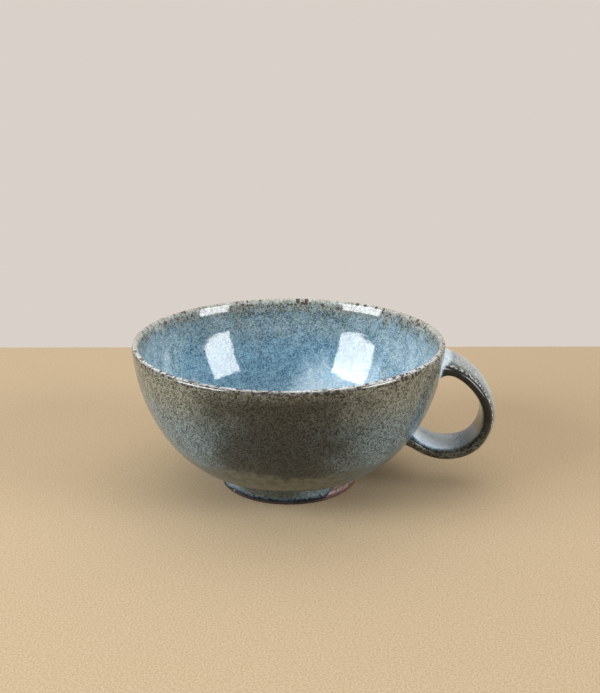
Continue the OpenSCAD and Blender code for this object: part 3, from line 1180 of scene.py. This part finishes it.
    def make_lip(self) -> None:
        """The thin coat over the lip."""
        p = self.profile
        below = [Station(p.wall_at(1.0, -p.glaze_t), p.wall_out(1.0), 1.0)]
        under = [Station(p.wall_at(1.0, 0), p.wall_out(1.0), 0.0)]
        outline = (below + self.lip_row(self.lip_rows, p.glaze_t)
                   + self.lip_row(self.lip_rows, 0)[::-1] + under)
        bm = self.shop.turned(outline, closed=True)
        self.shop.coat(bm, "lip_coat", self.glaze.lip_finish(), Coat.LIP)

    def coat_edge(self, angle: float) -> float:
        """Height of the ragged line where the upper glaze ends, with its runs.

        Args:
            angle: Direction round the axis.

        Returns:
            The height above the resting face.
        """
        ring = Vector((math.cos(angle), math.sin(angle), 0.0))
        slow, quick = (noise.noise(waves * ring) for waves in self.coat_waves)
        line = self.coat_line + self.coat_wander * (slow + self.quick_share * quick)
        for drip in self.drips:
            line -= drip.run * math.exp(-(turn_gap(angle, drip.angle) / drip.width) ** 2)
        return line

    def upper_coat(self, place: Vector) -> float:
        """How much of the upper glaze lies at a place of the wall, from 0 to 1."""
        line = self.coat_edge(math.atan2(place.y, place.x))
        return ease(place.z, line - self.coat_fade, line + self.coat_fade)

    def make_outside(self, landing: Callable[[Vector], float]) -> None:
        """The coat outside, in two layers, with the pools beside the handle's roots.

        Args:
            landing: How deep the handle's pooled glaze is at a point of the wall, from 0 to 1.
        """
        coat = self.profile.glaze_t
        first = self.profile.crease_share
        outline = (self.wall_row(self.wall_rows, -coat, False, 1.0, first)
                   + self.wall_row(self.hidden_rows, 0, False, 0.0, first)[::-1])
        bm = self.shop.turned(outline, closed=True)
        coat_mark = bm.verts.layers.float.new("coat")
        pool_mark = bm.verts.layers.float.new("pool")
        for vert in bm.verts:
            vert[coat_mark] = self.upper_coat(vert.co)
            vert[pool_mark] = landing(vert.co)
        self.ripple_skin(bm, self.outside_skin)
        self.shop.coat(bm, "outside_coat", self.glaze.outside_finish(), Coat.OUTSIDE)

    def outside_skin(self, place: Vector) -> float:
        """How far the outside's skin stands out: the throwing rings, and the step between the layers."""
        crease = self.profile.crease.y
        rings = self.hand.ripple(place) * ease(place.z, crease, crease + self.crease_calm)
        return rings - self.coat_step * (1 - self.upper_coat(place))

    def line_at(self, angle: float) -> float:
        """Height of the glaze line on the foot, which climbs to the crease over the bare patch.

        Args:
            angle: Direction round the axis.

        Returns:
            The height above the resting face.
        """
        ring = Vector((math.cos(angle), math.sin(angle), 0.0))
        line = self.glaze_line + self.line_wander * noise.noise(self.line_waves * ring)
        climb = ease(angle, self.bare_start, self.bare_full)
        climb *= 1 - ease(angle, self.bare_end, self.bare_close)
        return mix(line, self.profile.crease.y - self.bare_gap, climb)

    def make_foot_coat(self) -> None:
        """The roll of glaze on the foot, with a wandering line and one bare patch."""
        p = self.profile
        start = (self.glaze_line - p.foot_bevel) / (p.crease.y - p.foot_bevel)
        rows = self.foot_rows
        under = []
        for row in range(rows + 1):
            place = p.cove_at(mix(start, 1, row / rows))
            under.append(Station(place, Vector((1, 0)), 0.0))
        seen = [station._replace(show=1.0) for station in under[1:]]
        bm = self.shop.turned(under + seen[::-1], closed=True)
        self.shape_roll(bm)
        self.shop.coat(bm, "foot_coat", self.glaze.foot_finish(), Coat.FOOT)

    def shape_roll(self, bm: bmesh.types.BMesh) -> None:
        """Slides the foot's coat up to its wandering line and swells it to a roll.

        Args:
            bm: The turned mesh, whose seen side still lies on the clay.
        """
        p = self.profile
        show = bm.verts.layers.float["show"]
        depth = bm.verts.layers.float.new("depth")
        crease, crease_out = p.crease.y, p.wall_out(p.crease_share)
        for vert in bm.verts:
            angle = math.atan2(vert.co.y, vert.co.x)
            line = self.line_at(angle)
            share = (vert.co.z - self.glaze_line) / (crease - self.glaze_line)
            height = mix(line, crease, share)
            place = p.cove_at((height - p.foot_bevel) / (crease - p.foot_bevel))
            full = (crease - line) / (crease - self.glaze_line)
            swell = mix(p.glaze_t + self.roll_t * full, p.glaze_t, share)
            swell *= math.sin(math.pi / 2 * min(1.0, share / self.roll_edge_share))
            out = Vector((1, 0)).lerp(crease_out, share ** self.roll_turn).normalized()
            place = place + vert[show] * swell * out
            vert.co = Vector((place.x * math.cos(angle), place.x * math.sin(angle), place.y))
            vert[depth] = share


@dataclass(frozen=True)
class Fillet:
    """How a root spreads at the wall: how far along the wall, and over how much of the strap."""

    spread: float
    length: float

    def at(self, away: float) -> float:
        """The spread at a distance from the wall, on a quarter of an ellipse."""
        left = max(0.0, 1 - away / self.length)
        return self.spread * (1 - math.sqrt(1 - left * left))


@dataclass(frozen=True)
class RootShape:
    """The fillets of one root: beside the strap, on its inner face and on its outer face."""

    side: Fillet
    inner: Fillet
    outer: Fillet


class StrapStation(NamedTuple):
    """A station of the strap: its place, the way it runs, how far it is from each wall, and its width.

    The place has its distance from the axis first and its height second.
    """

    place: Vector
    way: Vector
    from_upper: float
    from_lower: float
    width: float


@dataclass
class Handle:
    """The pulled strap handle, its two roots and the coat of glaze on them."""

    profile: Profile
    shop: Workshop
    glaze: AshGlaze
    clay: BareClay
    reach: float = 19.2 * MM
    drop: float = 6.9 * MM
    strap_w: float = 27 * MM
    waist_w: float = 22.5 * MM
    strap_t: float = 3.8 * MM
    strap_crown: float = 1.8 * MM
    edge_power: float = 0.62
    upper_share: float = 0.925
    lower_share: float = 0.5
    crown_share: float = 0.32
    dip_share: float = 0.49
    top_shares: Pair = (0.44, 0.48)
    bottom_share: float = 0.6
    recurve_shares: Pair = (0.46, 0.31)
    upper: RootShape = RootShape(
        side=Fillet(3.0 * MM, 6 * MM), inner=Fillet(6.2 * MM, 8 * MM), outer=Fillet(0.7 * MM, 4 * MM))
    lower: RootShape = RootShape(
        side=Fillet(2.8 * MM, 6 * MM), inner=Fillet(3.0 * MM, 6 * MM), outer=Fillet(0.9 * MM, 4 * MM))
    sides: int = 64
    steps: int = 40
    end_crowding: float = 1.7
    seat_range: Pair = (-14 * MM, 8 * MM)
    seat_fade: float = 12 * MM
    seat_sink: float = 0.03 * MM
    upper_pools: Pair = (2.2 * MM, 5.6 * MM)
    lower_pools: Pair = (14 * MM, 38 * MM)
    wall_pools: Pair = (2.6 * MM, 5 * MM)
    upper_turns: Pair = (0.2, 0.8)
    inner_turns: Pair = (0.22, 0.72)
    lower_turns: Pair = (0.3, 0.75)
    upper_full: float = 0.1
    lower_full: float = 0.35
    wall_depth: float = 0.72
    corner_power: float = 2.4
    knead: float = 0.12 * MM
    knead_span: float = 9 * MM
    root_steps: int = 12

    @property
    def curves(self) -> tuple[Cubic, Cubic, Cubic]:
        """The strap's centre line: out from the upper root, round the bottom and up to the lower root."""
        p = self.profile
        top, bottom = p.wall_at(self.upper_share, 0), p.wall_at(self.lower_share, 0)
        top_way, bottom_way = p.wall_out(self.upper_share), p.wall_out(self.lower_share)
        outermost = Vector((p.rim_r + self.reach, mix(bottom.y, top.y, self.crown_share)))
        lowest = Vector((mix(bottom.x, outermost.x, self.dip_share), bottom.y - self.drop))
        across, back = outermost.x - top.x, lowest.x - bottom.x
        return (
            Cubic(top, top + self.top_shares[0] * across * top_way,
                  outermost + Vector((0, self.top_shares[1] * (top.y - outermost.y))), outermost),
            Cubic(outermost, outermost - Vector((0, self.bottom_share * (outermost.y - lowest.y))),
                  lowest + Vector((self.bottom_share * (outermost.x - lowest.x), 0)), lowest),
            Cubic(lowest, lowest - Vector((self.recurve_shares[0] * back, 0)),
                  bottom + self.recurve_shares[1] * back * bottom_way, bottom))

    def path(self) -> list[StrapStation]:
        """The stations of the centre line, from the upper wall to the lower."""
        shares = [row / self.steps for row in range(self.steps)]
        close = [share ** self.end_crowding for share in shares]
        spots = [(0, share) for share in close] + [(1, share) for share in shares] + [(2, 0.0)]
        spots += [(2, 1 - share) for share in reversed(close)]
        curves = self.curves
        places = [curves[number].at(share) for number, share in spots]
        run = [0.0]
        for near, far in zip(places, places[1:]):
            run.append(run[-1] + (far - near).length)
        stations = []
        for (number, share), place, done in zip(spots, places, run):
            round_loop = (number + share) / len(curves)
            width = mix(self.strap_w, self.waist_w, math.sin(math.pi * round_loop))
            stations.append(StrapStation(place, curves[number].way(share), done, run[-1] - done, width))
        return stations

    def section(self, number: int) -> tuple[float, float]:
        """A point of the strap's rounded section, across it and through it, from -1 to 1."""
        angle = TURN * number / self.sides
        across, rise = math.cos(angle), math.sin(angle)
        return (math.copysign(abs(across) ** self.edge_power, across),
                math.copysign(abs(rise) ** self.edge_power, rise))

    def ring(self, station: StrapStation, coat: float) -> list[Vector]:
        """One ring of the strap, before its ends are seated on the wall.

        Args:
            station: Where the ring lies on the centre line.
            coat: Thickness of glaze over the clay.

        Returns:
            The ring's points.
        """
        up, low = station.from_upper, station.from_lower
        half_w = station.width / 2 + coat + self.upper.side.at(up) + self.lower.side.at(low)
        inner = self.strap_t / 2 + coat + self.upper.inner.at(up) + self.lower.inner.at(low)
        outer = self.strap_t / 2 + coat + self.upper.outer.at(up) + self.lower.outer.at(low)
        outward = Vector((-station.way.y, station.way.x))
        points = []
        for number in range(self.sides):
            across, rise = self.section(number)
            crown = self.strap_crown * (1 - across ** 2)
            depth = rise * (inner if rise < 0 else outer + crown)
            spot = station.place + depth * outward
            points.append(Vector((spot.x, half_w * across, spot.y)))
        return points

    def seat(self, point: Vector, way: Vector, coat: float) -> float:
        """How far a point of a strap's end has to go along the strap to lie on the wall.

        Args:
            point: The point.
            way: The direction out of the wall, in the handle's plane.
            coat: Thickness of the coat whose surface it lies on.

        Returns:
            The distance, along way.
        """
        def in_wall(move: float) -> bool:
            """Whether the point still lies inside the wall after a move along way."""
            spot = point + move * Vector((way.x, 0, way.y))
            return math.hypot(spot.x, spot.y) < self.profile.outer_r(spot.z, coat)
        return last_below(*self.seat_range, in_wall) - self.seat_sink

    def rings(self, coat: float) -> list[list[Vector]]:
        """The strap's rings from the upper wall to the lower, with both ends seated on the wall.

        Args:
            coat: Thickness of glaze over the clay.

        Returns:
            The rings.
        """
        path = self.path()
        rows = [self.ring(station, coat) for station in path]
        top_way, bottom_way = path[0].way, -path[-1].way
        top_gaps = [self.seat(point, top_way, coat) for point in rows[0]]
        bottom_gaps = [self.seat(point, bottom_way, coat) for point in rows[-1]]
        for station, row in zip(path, rows):
            top_fade = max(0.0, 1 - station.from_upper / self.seat_fade) ** 2
            bottom_fade = max(0.0, 1 - station.from_lower / self.seat_fade) ** 2
            for point, top_gap, bottom_gap in zip(row, top_gaps, bottom_gaps):
                point += top_fade * top_gap * Vector((top_way.x, 0, top_way.y))
                point += bottom_fade * bottom_gap * Vector((bottom_way.x, 0, bottom_way.y))
        return rows

    def build(self) -> None:
        """Makes the clay strap, its two roots and the coat."""
        inner = self.rings(0)
        last = len(inner) - 1
        clay = self.clay.finish("handle_clay")
        cuts = ((Clay.UPPER_ROOT, "upper_join", 0, self.root_steps),
                (Clay.STRAP, "pulled_strap", self.root_steps, last - self.root_steps),
                (Clay.LOWER_ROOT, "lower_join", last - self.root_steps, last))
        for node, name, start, end in cuts:
            bm = self.shop.swept(inner[start:end + 1], ring_again=False)
            self.shop.piece(bm, name, clay, "clay", node.value)
        self.make_coat(inner)

    def make_coat(self, inner: Sequence[Sequence[Vector]]) -> None:
        """The coat round the strap, kneaded a little and pooled at the roots.

        Args:
            inner: The rings of the clay under it.
        """
        outer = self.rings(self.profile.glaze_t)
        path = self.path()
        for row, station in zip(outer, path):
            free = ease(min(station.from_upper, station.from_lower), 0.0, self.knead_span)
            centre = sum(row, Vector()) / len(row)
            for point in row:
                rise = free * self.knead * noise.noise(point / self.knead_span)
                point += rise * (point - centre).normalized()
        bm = self.shop.swept(list(outer) + list(inner[::-1]) + [outer[0]], ring_again=True)
        line, row = bm.verts.layers.int["line"], bm.verts.layers.int["row"]
        pool, turn = bm.verts.layers.float.new("pool"), bm.verts.layers.float.new("turn")
        for vert in bm.verts:
            vert[turn] = self.turn_at(vert[line])
            if vert[row] < len(path):
                station = path[vert[row]]
                vert[pool] = self.pool_at(vert[turn], station.from_upper, station.from_lower)
        self.shop.coat(bm, "handle_coat", self.glaze.handle_finish(), Coat.HANDLE)

    def turn_at(self, number: int) -> float:
        """Where a point of the section lies: -1 on the inner face, 0 on a side and 1 on the outer face."""
        angle = TURN * number / self.sides
        return math.atan2(math.sin(angle), abs(math.cos(angle))) / (math.pi / 2)

    def pool_at(self, turn: float, done: float, left: float) -> float:
        """How deep the pooled glaze is at a point of the strap.

        Args:
            turn: Where the point lies round the section.
            done: Its distance along the strap from the upper wall.
            left: Its distance along the strap from the lower wall.

        Returns:
            1 at a root, down to 0 where the pool ends.
        """
        upper = mix(*self.upper_pools, ease(turn, *self.upper_turns))
        lower = mix(*self.lower_pools, ease(-turn, *self.lower_turns))
        inward = ease(-turn, *self.inner_turns)
        near_upper = 1 - ease(done, self.upper_full * upper, upper)
        near_lower = 1 - ease(left, self.lower_full * lower, lower)
        return max(near_upper, inward * near_lower)

    def landing(self, place: Vector) -> float:
        """How deep the pooled glaze is at a point of the wall.

        Args:
            place: The point.

        Returns:
            1 under a root, down to 0 at a distance from it.
        """
        if place.x < 0:
            return 0.0
        deepest = 0.0
        power = self.corner_power
        roots = ((self.upper_share, self.upper, self.wall_pools[0]),
                 (self.lower_share, self.lower, self.wall_pools[1]))
        for share, root, reach in roots:
            spot = self.profile.wall_at(share, 0)
            half_w = self.strap_w / 2 + root.side.spread
            low = self.strap_t / 2 + root.inner.spread
            high = self.strap_t / 2 + root.outer.spread + self.strap_crown
            if root is self.lower:
                low, high = high, low
            rise = place.z - spot.y - (high - low) / 2
            across, along = abs(place.y) / half_w, 2 * abs(rise) / (high + low)
            turns = max(1.0, (across ** power + along ** power) ** (1 / power))
            away = (1 - 1 / turns) * math.hypot(place.y, rise)
            deepest = max(deepest, self.wall_depth * (1 - ease(away, 0.0, reach)))
        return deepest


class SoftBox(NamedTuple):
    """A rectangular studio light: where it stands and how large it looks, in degrees, and how far off."""

    name: str
    azimuth: float
    elevation: float
    width: float
    height: float
    radiance: float
    roll: float
    distance: float


@dataclass(frozen=True)
class Studio:
    """The plain stage: a pale floor, two soft lights, a dim room and the camera."""

    boxes: tuple[SoftBox, ...] = (
        SoftBox("left_softbox", azimuth=-150, elevation=24, width=34, height=32,
                radiance=9.4, roll=10, distance=1.3),
        SoftBox("right_softbox", azimuth=-18, elevation=21, width=26, height=28,
                radiance=9.2, roll=-7, distance=1.8))
    box_tint: tuple[float, float, float] = (0.94, 0.97, 1.0)
    aim: Vector = Vector((0.0, 0.0, 0.04))
    floor_size: float = 6.0
    floor_tone: Colour = paint(201, 182, 152)
    floor_fleck: Colour = paint(176, 154, 121)
    floor_end: float = 0.201
    floor_cells: int = 8
    floor_fade: Pair = (300.0, 480.0)
    floor_grain: float = 0.7
    floor_relief: float = 0.012
    floor_rough: Pair = (0.8, 0.9)
    floor_ior: float = 1.4
    backdrop: Colour = paint(217, 209, 201)
    room_front: float = 0.05
    room_back: float = 0.85
    room_above: float = 2.0
    back_full: float = math.radians(30)
    above_start: float = math.radians(40)
    view_target: Vector = Vector((5.08 * MM, 0.0, 63.185 * MM))
    view_distance: float = 450.87 * MM
    view_pitch: float = math.radians(17.356)
    view_turn: float = math.radians(5.0)
    view_roll: float = math.radians(-0.1)
    focal_px: float = 1000.0
    frame_px: float = 693.0
    sensor: float = 36.0

    def build(self) -> None:
        """Makes the camera, the lights, the room and the floor."""
        self.make_camera()
        for box in self.boxes:
            self.make_light(box)
        self.make_room()
        self.make_floor()
        bpy.context.scene.view_settings.view_transform = "Standard"

    def make_camera(self) -> None:
        """The camera at the photograph's viewing angle."""
        data = bpy.data.cameras.new("camera")
        data.sensor_width = self.sensor
        data.lens = self.sensor * self.focal_px / self.frame_px
        camera = bpy.data.objects.new("camera", data)
        spin = Matrix.Rotation(self.view_turn, 3, "Z")
        back = Vector((0, -math.cos(self.view_pitch), math.sin(self.view_pitch)))
        camera.location = spin @ (self.view_target + self.view_distance * back)
        turn = (spin @ -back).to_track_quat("-Z", "Y").to_matrix()
        camera.rotation_euler = (turn @ Matrix.Rotation(self.view_roll, 3, "Z")).to_euler()
        bpy.context.scene.collection.objects.link(camera)
        bpy.context.scene.camera = camera

    def make_light(self, box: SoftBox) -> None:
        """One soft light, facing the mug.

        Args:
            box: Where it stands and how bright it is.
        """
        data = bpy.data.lights.new(box.name, "AREA")
        data.shape = "RECTANGLE"
        data.size = 2 * box.distance * math.tan(math.radians(box.width) / 2)
        data.size_y = 2 * box.distance * math.tan(math.radians(box.height) / 2)
        data.energy = box.radiance * math.pi * data.size * data.size_y
        data.color = self.box_tint
        azimuth, elevation = math.radians(box.azimuth), math.radians(box.elevation)
        away = Vector((math.cos(azimuth) * math.cos(elevation), math.sin(azimuth) * math.cos(elevation),
                       math.sin(elevation)))
        light = bpy.data.objects.new(box.name, data)
        light.location = self.aim + box.distance * away
        turn = (-away).to_track_quat("-Z", "Y").to_matrix()
        light.rotation_euler = (turn @ Matrix.Rotation(math.radians(box.roll), 3, "Z")).to_euler()
        bpy.context.scene.collection.objects.link(light)

    def make_room(self) -> None:
        """The dim room, which the camera and the reflections see as a pale backdrop."""
        world = bpy.data.worlds.new("room")
        world.use_nodes = True
        graph = Graph(world.node_tree)
        sky = graph.node("ShaderNodeTexCoord").outputs["Generated"]
        way = graph.node("ShaderNodeSeparateXYZ", {0: sky})
        behind = graph.node("ShaderNodeMapRange", {
            "Value": way.outputs["Y"], "From Max": math.sin(self.back_full),
            "To Min": self.room_front, "To Max": self.room_back}, interpolation_type="SMOOTHSTEP")
        above = graph.node("ShaderNodeMapRange", {
            "Value": way.outputs["Z"], "From Min": math.sin(self.above_start),
            "To Max": self.room_above}, interpolation_type="SMOOTHSTEP")
        glow = graph.math("ADD", behind.outputs["Result"], above.outputs["Result"])
        lit = graph.node("ShaderNodeBackground", {"Color": self.backdrop, "Strength": glow})
        seen = graph.node("ShaderNodeBackground", {"Color": self.backdrop})
        rays = graph.node("ShaderNodeLightPath").outputs
        shown = graph.math("MAXIMUM", rays["Is Camera Ray"], rays["Is Transmission Ray"])
        mirrored = graph.math("MAXIMUM", shown, rays["Is Glossy Ray"])
        blend = graph.node("ShaderNodeMixShader", {0: mirrored, 1: lit.outputs[0], 2: seen.outputs[0]})
        graph.node("ShaderNodeOutputWorld", {0: blend.outputs[0]})
        bpy.context.scene.world = world

    def make_floor(self) -> None:
        """The pale floor, which ends behind the mug and fades out far to its sides."""
        bm = bmesh.new()
        cells = self.floor_cells
        bmesh.ops.create_grid(bm, x_segments=cells, y_segments=cells, size=self.floor_size / 2)
        bmesh.ops.translate(bm, vec=(0, self.floor_end - self.floor_size / 2, 0), verts=bm.verts)
        turn = Matrix.Rotation(self.view_turn, 3, "Z")
        bmesh.ops.rotate(bm, cent=(0, 0, 0), matrix=turn, verts=bm.verts)
        mesh = bpy.data.meshes.new("floor")
        bm.to_mesh(mesh)
        bm.free()
        recipe = Recipe("pale_floor")
        flecks = recipe.patches(self.floor_grain, 0.35, 0.65, detail=4.0, rough=0.7)
        tone = recipe.blend(flecks, self.floor_tone, self.floor_fleck)
        tooth = recipe.relief(recipe.cloud(self.floor_grain), self.floor_relief)
        recipe.finish(tone, recipe.span(flecks, *self.floor_rough), tooth, self.floor_ior)
        near = recipe.flip(recipe.ease(recipe.radius, *self.floor_fade))
        recipe.feed(recipe.shader.inputs["Alpha"], near)
        mesh.materials.append(recipe.material)
        floor = bpy.data.objects.new("floor", mesh)
        bpy.context.scene.collection.objects.link(floor)


def main() -> None:
    logging.basicConfig(level=logging.INFO, format="%(name)s: %(message)s")
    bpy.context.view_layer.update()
    profile = Profile.from_frame()
    hand = Hand(profile)
    shop = Workshop(hand)
    glaze = AshGlaze(profile)
    clay = BareClay()
    Studio().build()
    handle = Handle(profile, shop, glaze, clay)
    Bowl(profile, hand, shop, glaze, clay).build(handle.landing)
    handle.build()


if __name__ == "__main__":
    main()
